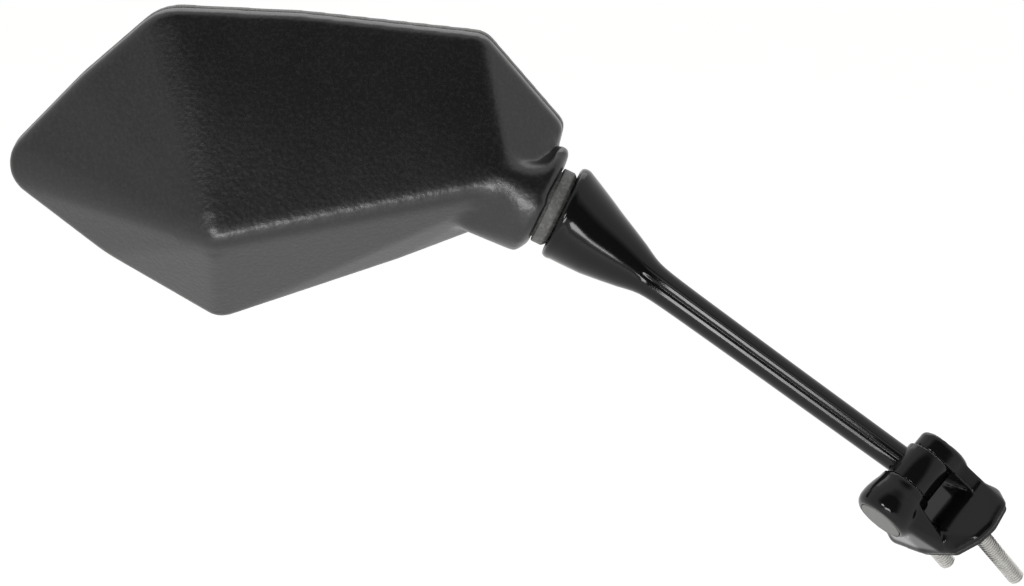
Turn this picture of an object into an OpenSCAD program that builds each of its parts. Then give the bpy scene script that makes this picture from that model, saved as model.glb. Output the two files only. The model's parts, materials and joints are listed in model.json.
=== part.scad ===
// Right-hand fairing mirror: faceted head on a cast stem that folds on a two-stud foot.
// Millimetres. +Z is up as mounted, +X points inboard, +Y points to the rear (the glass faces +Y).
// The origin is the middle of the foot's mounting face, half way between the two studs.

/* [Head outline] */
// Reach of the head's outer tip from the ball centre
head_reach = 203.5; // [185:0.5:225]
// Height of the outer tip above the ball centre
tip_rise = 12.8; // [8:0.2:20]
// Distance of the top outer corner from the ball centre
crown_reach = 144.5; // [136:0.5:156]
// Height of the top outer corner above the ball centre
crown_rise = 69.8; // [64:0.2:78]
// Height of the top inner corner above the ball centre
brow_rise = 61.8; // [57:0.2:66]
// Depth of the bottom corner below the ball centre
chin_drop = 40; // [34:0.5:44]
// How far the upper edges bow outward from straight
edge_bow = 1.7; // [1:0.1:3]
// How far the lower outer edge bows outward
lower_bow = 3.1; // [2:0.1:4]
// Rounding of the outer tip
tip_round = 12; // [6:0.5:14]

/* [Head shell] */
// Wall of the head shell
wall = 2.6; // [2:0.1:3.2]
// Depth of the straight side band round the rim, with the bezel
band_depth = 12; // [10:0.5:14]
// Depth of the bezel's share of that band
bezel_depth = 4.5; // [3.5:0.5:5.5]
// Distance from the ball centre back to the bezel's face
rim_back = 19.7; // [18.5:0.1:21]
// How far the outer crest corner stands in front of the ball centre
crest_fwd = 25.3; // [20:0.5:30]
// How far the inner crest corner stands in front of the ball centre
inner_crest_fwd = 13.1; // [10:0.5:15]
// Rounding of the creases
crease_round = 4.5; // [3.5:0.5:5.5]

/* [Glass] */
// Thickness of the mirror glass
glass_t = 2; // [1.6:0.2:2.4]
// Thickness of the foam pad behind the glass
glass_pad_t = 1; // [0.8:0.1:1.4]
// Thickness of the carrier plate
carrier_t = 2.5; // [2:0.1:3]
// Radius of the carrier screws' shanks
screw_r = 1.45; // [1.2:0.05:1.7]

/* [Neck] */
// Angle of the neck below level
neck_drop = 25.5; // [20:0.5:30]
// Radius of the head's boss
boss_r = 15.6; // [14.5:0.1:16.5]
// Radius of the collar
collar_r = 13.8; // [13:0.1:14]
// Length of the collar that shows
collar_len = 5.3; // [4.5:0.1:6]
// Gap between collar and flare mouth
mouth_gap = 1.1; // [1:0.1:2]
// Radius of the ball
ball_r = 8; // [7:0.1:8.5]
// Radius of the ball stud's threaded shank
shank_r = 4; // [3:0.5:4.5]

/* [Stem] */
// Length from hinge axis to flare mouth
stem_len = 155.2; // [135:0.2:175]
// Angle between the stem and the foot's normal
stem_lean = 48.6; // [40:0.2:60]
// Stem radius beside the hinge eye
stem_r_low = 5.1; // [4.6:0.1:5.6]
// Stem radius below the flare
stem_r_high = 5.7; // [5.2:0.1:6.2]
// Outer radius of the flare mouth
flare_r = 16.9; // [16.6:0.1:17.5]
// Length of the flare's straight cone
flare_len = 34.5; // [31:0.5:38]
// Wall of the flare's lip
lip_wall = 1.4; // [1.2:0.1:1.4]

/* [Hinge] */
// Height of the hinge axis above the mounting face
hinge_height = 22.5; // [21:0.5:27]
// Offset of the hinge eye from the stud line, along the hinge axis
eye_offset = 5; // [3:0.5:6]
// Radius of the foot's knuckles
knuckle_r = 9.6; // [9.4:0.1:11]
// Width of the long knuckle, with the cap
long_knuckle_w = 15; // [13:0.5:16]
// Width of the short knuckle, with the nut
short_knuckle_w = 7; // [7:0.5:9]
// Radius of the stem's eye
eye_r = 8.5; // [8:0.1:9]
// Width of the stem's eye
eye_w = 11; // [10:0.5:13]
// Radius of the hinge bolt
bolt_r = 3; // [2.5:0.1:3.2]
// Radius of the grey end cap
cap_r = 8.1; // [7.8:0.1:8.5]

/* [Foot and studs] */
// Height of the foot plate's top above the mounting face
plate_top = 8.5; // [7.5:0.5:9.5]
// Thickness of the rubber pad under the foot
pad_t = 1.5; // [1:0.1:2]
// Distance between the two studs
stud_pitch = 36; // [32:0.5:40]
// Radius of the studs
stud_r = 3; // [2.5:0.1:3]
// How far the studs stand out of the mounting face
stud_out = 26; // [20:1:30]

/* [Hidden] */
$fn = 64;
hull_fn = 32;
sliver = 0.01;

// Clearances: running fits turn, seat fits only slip together
run_fit = 0.05;
seat_fit = 0.05;
hinge_side_gap = 0.1;

// Attitude of the foot on the fairing: turned about X, then Y, then Z
foot_turn = [3, -43, 36.5];
// The stud line is turned this much from square to the hinge axis
stud_skew = 6;
// The flare mouth stands off the stem's own line by this much
mouth_shift = [0.7, 0, 1];

// Vector helpers
function rot_x(v, a) = [v[0], v[1] * cos(a) - v[2] * sin(a), v[1] * sin(a) + v[2] * cos(a)];
function rot_y(v, a) = [v[0] * cos(a) + v[2] * sin(a), v[1], -v[0] * sin(a) + v[2] * cos(a)];
function rot_z(v, a) = [v[0] * cos(a) - v[1] * sin(a), v[0] * sin(a) + v[1] * cos(a), v[2]];
function from_foot(v) = rot_z(rot_y(rot_x(v, foot_turn[0]), foot_turn[1]), foot_turn[2]);

// Key points in the mirror's own frame
neck_dir = [cos(neck_drop), 0, -sin(neck_drop)];
hinge_point = from_foot([eye_offset, 0, hinge_height]);
stem_dir = from_foot([0, sin(stem_lean), cos(stem_lean)]);
mouth_point = hinge_point + stem_len * stem_dir + mouth_shift;
mouth_s = -3.8;
ball_point = mouth_point - mouth_s * neck_dir;

// Places along the neck, measured from the ball centre, positive towards the stem
collar_s = mouth_s - mouth_gap;
collar_back_s = collar_s - collar_len;
collar_seam = 0.15;
boss_end_s = collar_back_s - collar_seam;
spigot_len = 3;
spigot_r = collar_r - 1.5;
spigot_s = boss_end_s - spigot_len;
nut_seat_s = spigot_s - 8;
nut_well_len = 17;
boss_inner_s = nut_seat_s - nut_well_len;
nut_well_r = 9;
shoulder_r = ball_r + 0.5;
shoulder_s = collar_s - 3.2;
shank_run = 9.5;
lip_s = mouth_s - 0.9;

// Spherical layers round the ball
liner_in_r = ball_r + run_fit;
liner_out_r = liner_in_r + 0.95;
cup_in_r = liner_out_r + run_fit;
cup_out_r = cup_in_r + 0.85;
seat_r = cup_out_r + run_fit;
cup_rim_s = 1.2;
ring_front_s = -1.7;
ring_t = 0.9;
ring_out_r = flare_r - lip_wall - 1.35;
recess_r = flare_r - lip_wall;
disc_r = 5;
disc_t = 0.9;
disc_lift = 0.7;
disc_count = 3;
disc_pitch = disc_t + disc_lift;
pocket_depth = cup_out_r + disc_count * disc_pitch;

// Outline helpers: corners run anticlockwise, each rounded by its own radius
function unit(v) = v / norm(v);
function bow_point(a, b, share, bow) = a + share * (b - a) + bow * unit([b[1] - a[1], a[0] - b[0]]);
function corner_arc(a, p, b, full_r, inset, least_r) =
    let (
        u = unit(a - p),
        v = unit(b - p),
        half = acos(u * v) / 2,
        r = max(full_r - inset, least_r),
        centre = p + unit(u + v) * (inset + r) / sin(half),
        from = atan2(p[0] - a[0], a[1] - p[1]) + 180,
        sweep = 180 - 2 * half,
        steps = max(2, ceil(sweep / 9))
    )
    [for (k = [0:steps]) centre + r * [cos(from + sweep * k / steps), sin(from + sweep * k / steps)]];
function rounded(corners, radii, inset = 0, least_r = 1) =
    let (n = len(corners))
    [
        for (i = [0:n - 1])
            each corner_arc(corners[(i + n - 1) % n], corners[i], corners[(i + 1) % n], radii[i], inset, least_r)
    ];

// Head outline in the rim plane, from the ball centre
tip = [-head_reach, tip_rise];
chin = [-124.5, -chin_drop];
heel = [-11, 2.5];
cheek = [-4.3, 29.8];
brow = [-31.8, brow_rise];
crown = [-crown_reach, crown_rise];
HEAD_CORNERS = [
    tip, bow_point(tip, chin, 0.52, lower_bow), chin, bow_point(chin, heel, 0.55, 1.2), heel, cheek,
    brow, bow_point(brow, crown, 0.56, edge_bow), crown, bow_point(crown, tip, 0.45, edge_bow)
];
HEAD_ROUNDS = [tip_round, 60, 8, 70, 8, 5, 9, 80, 19, 60];

// Depths across the head, from the ball centre, positive to the rear
band_front = rim_back - band_depth;
shell_rim = rim_back - bezel_depth;
lip_t = 1.5;
glass_front = rim_back - lip_t - glass_t;
glass_pad_front = glass_front - glass_pad_t;
carrier_front = glass_pad_front - carrier_t;
glass_inset = 4.7;
edge_soften = 1.6;
outer_crest = [-122.8, -crest_fwd, -4.8];
inner_crest = [-23.3, -inner_crest_fwd, 13.6];
POST_PLACES = [[-165, 22], [-128, -14], [-118, 54], [-62, 12], [-52, 46]];
post_r = 3.8;
screw_head_r = 3;
screw_len = 10;

// Places along the hinge axis, from the stud line
flange_t = 1;
eye_half = eye_w / 2 + flange_t;
slot_low = eye_offset - eye_half - hinge_side_gap;
slot_high = eye_offset + eye_half + hinge_side_gap;
barrel_low = slot_low - long_knuckle_w;
barrel_high = slot_high + short_knuckle_w;
cap_t = 2.5;
bolt_head_t = 5.5;
bolt_head_r = 5;
hinge_washer_t = 1.5;
bolt_well = cap_t + 0.3 + bolt_head_t + hinge_washer_t;
nut_t = 4.5;
nut_flats = 10;
nut_sink = 5;
bush_r = bolt_r + run_fit + 1.4;
plate_edge = 1.8;
stud_sink = 3.2;
stud_grip = 0.4;
stud_chamfer = 1;

// Foot outline on the mounting face, and the outline of the plate's top
FOOT_CORNERS = [
    [-9.8, -17.8], [-1.8, -24], [5, -25.6], [14.6, -23.2], [18.4, -15.5],
    [19.6, 15], [16, 24], [4, 27], [-9, 24.5], [-13.9, 14], [-13.9, -3]
];
FOOT_ROUNDS = [4, 5, 5, 4, 6, 7, 6, 7, 6, 8, 12];
TOP_CORNERS = [[-8, -9.5], [16.4, -13.5], [16.6, 14], [10, 19], [-5, 19], [-9, 12]];
SKIRT_CORNERS = [[-8.5, -14.5], [-11, -12.5], [-13, -2], [-13, 12], [-9.5, 19], [-5, 20]];
plate_bevel = 0.9;
pad_inset = 1.1;
eye_clear = 1.2;
// The short knuckle is an upright oval, its lower round this far below the axis
lug_drop = 4;
lug_top_r = 7.6;
lug_foot = 25;
// Swelling of the long knuckle, as shares of its width and of the swelling itself
KNUCKLE_SWELL = [
    [0, 0], [0.17, 0.15], [0.35, 0.6], [0.55, 0.95], [0.68, 1], [0.8, 0.95], [0.9, 0.6], [0.97, 0.05], [1, -0.6]
];
knuckle_swell = 1.6;

module in_foot() {
    rotate(foot_turn) children();
}

module on_hinge() {
    in_foot() translate([0, 0, hinge_height]) rotate([0, 90, 0]) children();
}

module along_stem() {
    in_foot() translate([eye_offset, 0, hinge_height]) rotate([-stem_lean, 0, 0]) children();
}

module at_ball() {
    translate(ball_point) children();
}

module along_neck() {
    at_ball() rotate([0, 90 + neck_drop, 0]) children();
}

// A slab of the head between two depths, its outline drawn in the rim plane
module head_slab(front, back, inset) {
    translate([0, back, 0])
        rotate([90, 0, 0])
            linear_extrude(back - front) polygon(rounded(HEAD_CORNERS, HEAD_ROUNDS, inset));
}

module head_frame(front, back, inset, width) {
    translate([0, back, 0])
        rotate([90, 0, 0])
            linear_extrude(back - front)
                difference() {
                    polygon(rounded(HEAD_CORNERS, HEAD_ROUNDS, inset));
                    polygon(rounded(HEAD_CORNERS, HEAD_ROUNDS, inset + width));
                }
}

// The faceted form of the head, drawn in by a wall thickness
module head_form(inset, back) {
    hull() {
        head_slab(band_front + edge_soften + 0.6 * inset, back, inset);
        head_slab(band_front + 0.8 * inset, band_front + 0.8 * inset + sliver, edge_soften + inset);
        for (crest = [outer_crest, inner_crest])
            translate(crest + [0, crease_round, 0]) sphere(crease_round - inset, $fn = hull_fn);
    }
}

module rod(r, low, high) {
    translate([0, 0, low]) cylinder(r = r, h = high - low);
}

module tube(r_out, r_in, low, high) {
    difference() {
        rod(r_out, low, high);
        rod(r_in, low - 1, high + 1);
    }
}

// A rod with its upper edge rounded
module soft_rod(r, low, high, edge) {
    translate([0, 0, low])
        rotate_extrude()
            union() {
                square([r, high - low - edge]);
                square([r - edge, high - low]);
                translate([r - edge, high - low - edge]) circle(edge, $fn = 32);
            }
}

module hex_nut(flats, bore_r, low, high) {
    difference() {
        translate([0, 0, low]) cylinder(r = flats / 2 / cos(30), h = high - low, $fn = 6);
        rod(bore_r, low - 1, high + 1);
    }
}

module foot_slab(low, high, inset) {
    translate([0, 0, low]) linear_extrude(high - low) polygon(rounded(FOOT_CORNERS, FOOT_ROUNDS, inset, 0.8));
}

module at_studs() {
    for (side = [-1, 1])
        rotate([0, 0, stud_skew]) translate([0, side * stud_pitch / 2, 0]) children();
}

module foot() {
    color([0.06, 0.06, 0.065])
        in_foot()
            difference() {
                union() {
                    hull() {
                        foot_slab(pad_t, pad_t + plate_edge, 0);
                        foot_slab(pad_t, pad_t + plate_edge + plate_bevel, plate_bevel);
                        translate([0, 0, plate_top - sliver]) linear_extrude(sliver) polygon(TOP_CORNERS);
                    }
                    long_knuckle();
                    short_knuckle();
                }
                hinge_slot();
                hinge_bores();
                at_studs() rod(stud_r + stud_grip + seat_fit, 0, pad_t + stud_sink);
            }
}

// The long knuckle's swollen barrel and the skirt that carries it down to the plate
module long_knuckle() {
    skirt_end = slot_low - 3.4;
    skirt_start = barrel_low + 2;
    hull() {
        translate([skirt_start, 0, hinge_height])
            rotate([0, 90, 0]) cylinder(r = knuckle_r, h = skirt_end - skirt_start, $fn = 48);
        translate([0, 0, pad_t]) linear_extrude(plate_edge) polygon(SKIRT_CORNERS);
    }
    translate([slot_low, 0, hinge_height])
        rotate([0, -90, 0])
            rotate_extrude()
                polygon([
                    [0, 0],
                    for (p = KNUCKLE_SWELL) [knuckle_r + p[1] * knuckle_swell, p[0] * long_knuckle_w],
                    [0, long_knuckle_w]
                ]);
}

// The short knuckle, drawn out towards the plate
module short_knuckle() {
    edge = 1.4;
    side_w = short_knuckle_w - edge;
    translate([slot_high, 0, hinge_height])
        rotate([0, 90, 0])
            hull() {
                oval(lug_top_r, knuckle_r, side_w);
                oval(lug_top_r - edge, knuckle_r - edge, short_knuckle_w);
            }
    hull() {
        translate([slot_high, 0, hinge_height - lug_drop])
            rotate([0, 90, 0]) cylinder(r = knuckle_r - edge, h = side_w, $fn = 48);
        translate([slot_high, -lug_foot / 2, pad_t]) cube([side_w, lug_foot, plate_top - pad_t]);
    }
}

module oval(top_r, low_r, height) {
    cylinder(r = top_r, h = height, $fn = 48);
    translate([lug_drop, 0, 0]) cylinder(r = low_r, h = height, $fn = 48);
}

// Room for the stem's eye to turn between the knuckles
module hinge_slot() {
    slot_w = slot_high - slot_low;
    slot_run = 32;
    translate([slot_low, 0, hinge_height]) rotate([0, 90, 0]) rod(eye_r + eye_clear, 0, slot_w);
    translate([slot_low, -slot_run, plate_top]) cube([slot_w, 2 * slot_run, 2 * slot_run]);
}

module hinge_bores() {
    translate([0, 0, hinge_height])
        rotate([0, 90, 0]) {
            rod(bolt_r + seat_fit, barrel_low - 1, barrel_high + 1);
            rod(cap_r + seat_fit, barrel_low - 1, barrel_low + bolt_well);
            rod(nut_flats / 2 / cos(30) + 0.3, barrel_high - nut_sink, barrel_high + 1);
        }
}

module base_pad() {
    color([0.05, 0.05, 0.05])
        in_foot()
            difference() {
                foot_slab(0, pad_t, pad_inset);
                at_studs() rod(stud_r + stud_grip + 0.15, -1, pad_t + 1);
            }
}

// A stud with a thicker root gripped by the casting
module stud(side) {
    color([0.72, 0.72, 0.7])
        in_foot()
            rotate([0, 0, stud_skew])
                translate([0, side * stud_pitch / 2, 0])
                    rotate([180, 0, 0])
                        union() {
                            rod(stud_r + stud_grip, -pad_t - stud_sink, 0);
                            rod(stud_r, 0, stud_out - stud_chamfer);
                            translate([0, 0, stud_out - stud_chamfer])
                                cylinder(r1 = stud_r, r2 = stud_r - 0.9 * stud_chamfer, h = stud_chamfer);
                        }
}

module stud_front() {
    stud(-1);
}

module stud_rear() {
    stud(1);
}

module hinge_bolt() {
    head_low = barrel_low + cap_t + 0.3;
    socket_flats = 5;
    color([0.35, 0.35, 0.37])
        on_hinge()
            difference() {
                union() {
                    rod(bolt_head_r, head_low, head_low + bolt_head_t);
                    rod(bolt_r, head_low, barrel_high - 0.3);
                }
                translate([0, 0, head_low - 1])
                    cylinder(r = socket_flats / 2 / cos(30), h = 4, $fn = 6);
            }
}

module hinge_washer() {
    seat = barrel_low + bolt_well;
    color([0.6, 0.6, 0.6]) on_hinge() tube(bolt_head_r + 1, bolt_r + seat_fit, seat - hinge_washer_t, seat);
}

module hinge_nut() {
    low = barrel_high - nut_sink;
    color([0.35, 0.35, 0.37]) on_hinge() hex_nut(nut_flats, bolt_r + seat_fit, low, low + nut_t);
}

module hinge_cap() {
    color([0.5, 0.5, 0.5])
        on_hinge() translate([0, 0, barrel_low + cap_t]) rotate([180, 0, 0]) soft_rod(cap_r, 0, cap_t, 0.4);
}

module hinge_bush(side) {
    color([0.85, 0.85, 0.8])
        on_hinge()
            translate([0, 0, eye_offset])
                rotate([0, side > 0 ? 0 : 180, 0])
                    difference() {
                        union() {
                            rod(bush_r, eye_half - 5, eye_half);
                            rod(eye_r - 0.3, eye_half - flange_t, eye_half);
                        }
                        rod(bolt_r + run_fit, eye_half - 6, eye_half + 1);
                    }
}

module hinge_bush_outer() {
    hinge_bush(-1);
}

module hinge_bush_inner() {
    hinge_bush(1);
}

// Stem: eye, tapering shaft with a raised front band, and the flare that holds the ball seat
module stem() {
    neck_len = 3.5;
    waist_len = 7;
    waist_r = 7.85;
    throat_r = 6.7;
    belly_r = 12.8;
    lip_edge = 0.6;
    shaft_top = stem_len - flare_len - neck_len - waist_len;
    color([0.03, 0.03, 0.03])
        difference() {
            union() {
                on_hinge() rod(eye_r, eye_offset - eye_w / 2, eye_offset + eye_w / 2);
                along_stem() {
                    translate([0, 0, 2]) cylinder(r1 = stem_r_low, r2 = stem_r_high, h = shaft_top - 2);
                    translate([0, 0, shaft_top]) cylinder(r1 = stem_r_high, r2 = throat_r, h = waist_len);
                    translate([0, 0, shaft_top + waist_len])
                        cylinder(r1 = throat_r, r2 = waist_r + 0.1, h = neck_len);
                    front_band(shaft_top);
                }
                hull() {
                    along_stem() {
                        translate([0, 0, stem_len - flare_len - sliver]) cylinder(r = waist_r, h = sliver, $fn = 48);
                        translate([0, -waist_r + 0.6, stem_len - flare_len]) sphere(1.2, $fn = 24);
                        translate([0, 0, stem_len - flare_len / 2]) cylinder(r = belly_r, h = sliver, $fn = 48);
                    }
                    along_neck() {
                        translate([0, 0, lip_s]) cylinder(r = flare_r - lip_edge, h = sliver, $fn = 48);
                        translate([0, 0, lip_s + lip_edge]) cylinder(r = flare_r, h = 1.5, $fn = 48);
                    }
                }
            }
            flare_cavity();
            on_hinge() rod(bush_r + seat_fit, eye_offset - eye_w, eye_offset + eye_w);
        }
}

// The narrow raised band along the shaft's front
module front_band(top) {
    band_w = 3;
    band_h = 0.45;
    translate([-band_w / 2, -stem_r_low - band_h, 8]) cube([band_w, stem_r_low, top - 8]);
}

module flare_cavity() {
    ring_back_s = ring_front_s + ring_t;
    along_neck()
        rotate_extrude()
            union() {
                intersection() {
                    circle(seat_r);
                    square([seat_r + 1, seat_r + 1]);
                }
                translate([0, ring_back_s]) square([seat_r, -ring_back_s]);
                translate([0, ring_front_s]) square([ring_out_r + seat_fit, ring_t]);
                translate([0, lip_s - 1]) square([recess_r, ring_front_s - lip_s + 1]);
            }
    at_ball() toward_shaft() rod(disc_r + 0.2, 0, pocket_depth);
}

// Turns +Z to point down the shaft from the ball
module toward_shaft() {
    rotate(foot_turn) rotate([180 - stem_lean, 0, 0]) children();
}

module retaining_ring() {
    color([0.02, 0.02, 0.02])
        along_neck()
            difference() {
                rod(ring_out_r, ring_front_s, ring_front_s + ring_t);
                sphere(ball_r + run_fit);
            }
}

// Dished springs, stacked behind the friction cup
module disc_springs() {
    hole_r = 2.2;
    color([0.5, 0.5, 0.52])
        at_ball()
            toward_shaft()
                for (k = [0:disc_count - 1])
                    translate([0, 0, pocket_depth - (k + 1) * disc_pitch])
                        rotate_extrude()
                            polygon([
                                [hole_r, 0], [disc_r, disc_lift], [disc_r, disc_lift + disc_t], [hole_r, disc_t]
                            ]);
}

module ball_shell(r_out, r_in) {
    difference() {
        sphere(r_out);
        sphere(r_in);
        translate([0, 0, cup_rim_s - 2 * r_out]) cylinder(r = 2 * r_out, h = 2 * r_out);
    }
}

module friction_cup() {
    color([0.55, 0.55, 0.58]) along_neck() ball_shell(cup_out_r, cup_in_r);
}

module ball_liner() {
    color([0.88, 0.88, 0.84]) along_neck() ball_shell(liner_out_r, liner_in_r);
}

module ball_stud() {
    neck_share = 0.62;
    color([0.6, 0.6, 0.62])
        along_neck()
            union() {
                sphere(ball_r);
                rod(ball_r * neck_share, shoulder_s, 0);
                rod(shoulder_r, shoulder_s, collar_s - 0.3);
                rod(shank_r, nut_seat_s - shank_run, shoulder_s);
            }
}

module collar() {
    chamfer = 1.2;
    color([0.38, 0.38, 0.37])
        along_neck()
            difference() {
                union() {
                    rod(collar_r, collar_back_s, collar_s - chamfer);
                    translate([0, 0, collar_s - chamfer])
                        cylinder(r1 = collar_r, r2 = collar_r - chamfer, h = chamfer);
                    rod(spigot_r, spigot_s, collar_back_s);
                }
                rod(shank_r + seat_fit, spigot_s - 1, collar_s + 1);
                rod(shoulder_r + seat_fit, shoulder_s, collar_s + 1);
            }
}

module stud_washer() {
    color([0.6, 0.6, 0.6]) along_neck() tube(7.6, shank_r + seat_fit, nut_seat_s - 1.6, nut_seat_s);
}

module stud_nut() {
    color([0.6, 0.6, 0.62])
        along_neck() hex_nut(13, shank_r + seat_fit, nut_seat_s - 8.1, nut_seat_s - 1.6);
}

// Head shell: faceted outside, hollow behind, with the round boss for the neck
module housing() {
    color([0.2, 0.2, 0.19])
        difference() {
            union() {
                difference() {
                    at_ball() head_form(0, shell_rim);
                    at_ball() head_form(wall, shell_rim + 5);
                }
                intersection() {
                    at_ball() head_form(0.8, carrier_front);
                    posts();
                }
                boss();
            }
            along_neck() {
                rod(spigot_r + seat_fit, spigot_s, boss_end_s + 1);
                rod(shank_r + 0.2, nut_seat_s - 1, spigot_s + 1);
                rod(nut_well_r, boss_inner_s - 1, nut_seat_s);
            }
            at_ball()
                for (place = POST_PLACES)
                    translate([place[0], carrier_front + 1, place[1]])
                        rotate([90, 0, 0]) cylinder(r = screw_r + seat_fit, h = screw_len, $fn = 24);
        }
}

module posts() {
    at_ball()
        for (place = POST_PLACES)
            translate([place[0], carrier_front, place[1]])
                rotate([90, 0, 0]) cylinder(r = post_r, h = 60, $fn = 32);
}

// The boss runs into the shell, swept down along its lower edge, with a flange over its top
module boss() {
    taper_s = boss_end_s - 11;
    wing_r = 7;
    notch_place = [-14.5, 0, 27];
    notch_r = 7.5;
    difference() {
        union() {
            difference() {
                along_neck()
                    hull() {
                        rod(boss_r - 1, boss_end_s - 0.2, boss_end_s);
                        rod(boss_r, taper_s, boss_end_s - 1);
                        rod(boss_r - 3, taper_s - 8, taper_s);
                        rod(nut_well_r + wall, boss_inner_s, taper_s);
                        translate([4.2, 0, boss_end_s - 3.7]) rod(boss_r, 0, 0.7);
                        translate([14.2, 0, boss_end_s - 22]) sphere(wing_r, $fn = hull_fn);
                    }
                at_ball() translate(notch_place) rotate([90, 0, 0]) cylinder(r = notch_r, h = 80, center = true);
            }
            along_neck() boss_flange();
        }
        at_ball() {
            head_slab(carrier_front - 0.3, rim_back + boss_r, wall);
            head_slab(shell_rim, rim_back + boss_r, -0.3);
        }
    }
}

module boss_flange() {
    flange_r = boss_r - 2;
    flange_up = 7.2;
    edge = 1.4;
    low = boss_end_s - 5.8;
    high = boss_end_s - 0.4;
    translate([-flange_up, 0, 0])
        hull() {
            rod(flange_r - edge, low, high);
            rod(flange_r, low + edge, high - edge);
        }
}

// Frame that clips on the shell's rim and laps over the glass
module bezel() {
    seam = 0.4;
    color([0.1, 0.1, 0.1])
        at_ball()
            union() {
                head_frame(shell_rim + 0.6, rim_back, 0, wall);
                head_frame(shell_rim, shell_rim + 0.6, seam, wall - seam);
                head_frame(rim_back - lip_t, rim_back, 1, 5.5);
                head_frame(shell_rim - 2.5, rim_back - lip_t + sliver, wall + 0.2, 1.4);
                head_frame(shell_rim, shell_rim + 0.6, wall - 0.1, 0.5);
            }
}

module glass_carrier() {
    color([0.12, 0.12, 0.12])
        at_ball()
            difference() {
                head_slab(carrier_front, glass_pad_front, glass_inset);
                for (place = POST_PLACES)
                    translate([place[0], glass_pad_front, place[1]])
                        rotate([90, 0, 0]) {
                            translate([0, 0, -1]) cylinder(r = screw_r + 0.15, h = carrier_t + 2, $fn = 24);
                            cylinder(r1 = screw_head_r + 0.1, r2 = screw_r + 0.1, h = 1.6, $fn = 32);
                        }
            }
}

// Countersunk screws, one in each post
module carrier_screws() {
    color([0.6, 0.6, 0.62])
        at_ball()
            for (place = POST_PLACES)
                translate([place[0], glass_pad_front, place[1]])
                    rotate([90, 0, 0])
                        union() {
                            cylinder(r1 = screw_head_r, r2 = screw_r, h = 1.6, $fn = 32);
                            cylinder(r = screw_r, h = screw_len, $fn = 24);
                        }
}

module glass_pad() {
    color([0.25, 0.25, 0.25]) at_ball() head_slab(glass_pad_front, glass_front, glass_inset + 1);
}

module mirror_glass() {
    color([0.75, 0.8, 0.85]) at_ball() head_slab(glass_front, glass_front + glass_t, glass_inset);
}

foot();
base_pad();
stud_front();
stud_rear();
hinge_bolt();
hinge_washer();
hinge_nut();
hinge_cap();
stem();
hinge_bush_outer();
hinge_bush_inner();
retaining_ring();
disc_springs();
friction_cup();
ball_liner();
ball_stud();
collar();
stud_washer();
stud_nut();
housing();
bezel();
glass_carrier();
carrier_screws();
glass_pad();
mirror_glass();
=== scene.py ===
"""Looks of a right-hand fairing mirror: shell, bezel, glass, neck, cast stem, hinge and foot.

Sizes of the object are in millimetres and become metres when a piece is made. The studio is in metres.
"""

import json
import logging
from dataclasses import dataclass, field
from enum import Enum
from math import cos, pi, radians, sin, tau
from typing import Callable, Mapping, Sequence

import bmesh
import bpy
from mathutils import Matrix, Vector


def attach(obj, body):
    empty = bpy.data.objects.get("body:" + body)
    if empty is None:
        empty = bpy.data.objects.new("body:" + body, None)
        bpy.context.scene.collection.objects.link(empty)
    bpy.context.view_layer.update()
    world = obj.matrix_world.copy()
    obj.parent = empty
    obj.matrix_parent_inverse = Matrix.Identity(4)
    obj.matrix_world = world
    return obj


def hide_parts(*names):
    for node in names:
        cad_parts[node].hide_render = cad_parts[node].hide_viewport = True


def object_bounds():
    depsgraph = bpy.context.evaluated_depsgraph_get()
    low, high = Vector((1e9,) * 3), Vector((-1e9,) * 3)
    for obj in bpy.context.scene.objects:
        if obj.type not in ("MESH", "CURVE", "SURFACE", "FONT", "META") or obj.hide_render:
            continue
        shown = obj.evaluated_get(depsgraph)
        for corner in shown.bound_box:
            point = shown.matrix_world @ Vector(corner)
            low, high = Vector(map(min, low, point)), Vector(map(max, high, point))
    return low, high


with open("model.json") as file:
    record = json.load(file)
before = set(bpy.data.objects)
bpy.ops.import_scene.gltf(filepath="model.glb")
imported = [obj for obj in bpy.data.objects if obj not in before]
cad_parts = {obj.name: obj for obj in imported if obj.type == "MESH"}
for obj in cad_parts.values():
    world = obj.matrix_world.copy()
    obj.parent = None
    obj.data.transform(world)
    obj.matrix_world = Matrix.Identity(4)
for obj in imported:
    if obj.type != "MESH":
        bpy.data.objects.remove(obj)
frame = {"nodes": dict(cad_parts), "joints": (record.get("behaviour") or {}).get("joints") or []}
CAD_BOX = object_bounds()
LOG = logging.getLogger("mirror")
MM = 0.001
WELD_MM = 0.002

Point = tuple[float, float, float]
Colour = tuple[float, float, float, float]
Pairs = Sequence[tuple[float, float]]


class Body(str, Enum):
    """Moving bodies that the scene's own pieces ride on."""

    BASE = "base"
    STEM = "stem"
    HEAD = "head"


class Sum(str, Enum):
    """Sums that a shader value takes part in."""

    PLUS = "ADD"
    MINUS = "SUBTRACT"
    TIMES = "MULTIPLY"


class Ray(str, Enum):
    """Kinds of ray that see the bright background."""

    CAMERA = "Is Camera Ray"
    GLOSSY = "Is Glossy Ray"
    TRANSMISSION = "Is Transmission Ray"


class Step(str, Enum):
    """Modifiers that a mesh in the making is run through."""

    REMESH = "REMESH"
    BOOLEAN = "BOOLEAN"


# Shader values


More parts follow.
